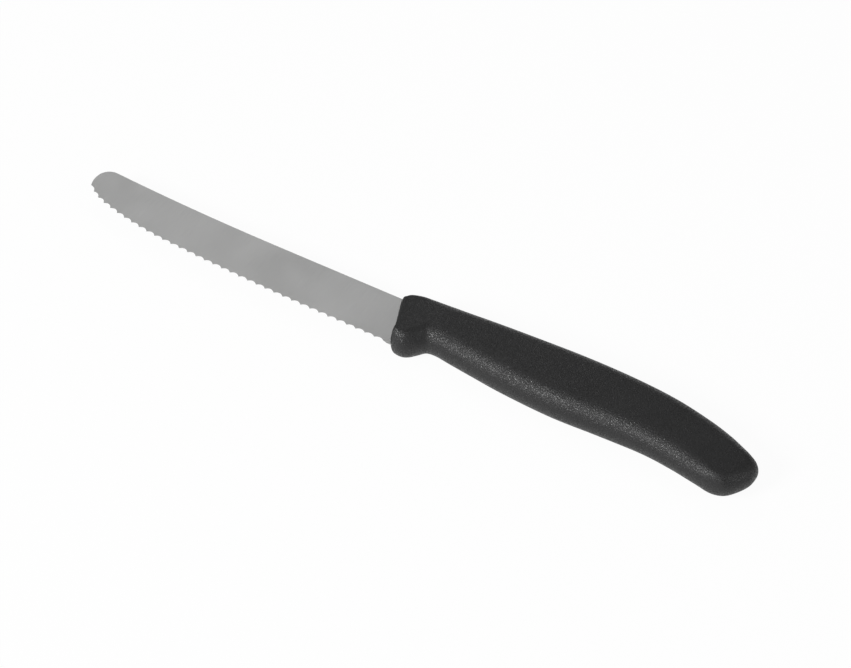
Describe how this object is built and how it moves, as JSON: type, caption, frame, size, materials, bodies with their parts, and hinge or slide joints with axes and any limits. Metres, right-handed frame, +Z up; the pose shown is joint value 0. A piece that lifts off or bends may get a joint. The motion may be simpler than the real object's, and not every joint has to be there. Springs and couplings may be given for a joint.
{
  "type": "tomato knife",
  "caption": "Serrated, round-tipped knife for slicing tomatoes, with a thin steel blade whose tang is moulded into a contoured plastic handle with a finger guard.",
  "frame": {"origin": "middle of the knife's footprint, on the plane that the handle's flat side lies on", "axes": "+X along the knife from tip to butt, +Y from the cutting edge to the spine, +Z up through the thickness, away from the side it lies on"},
  "size_m": [0.224, 0.0238, 0.012],
  "materials": {
    "blade": "finely ground and brushed",
    "handle": "fine moulded grain"
  },
  "bodies": {
    "root": {"blade": "blade", "handle": "handle"}
  },
  "joints": []
}
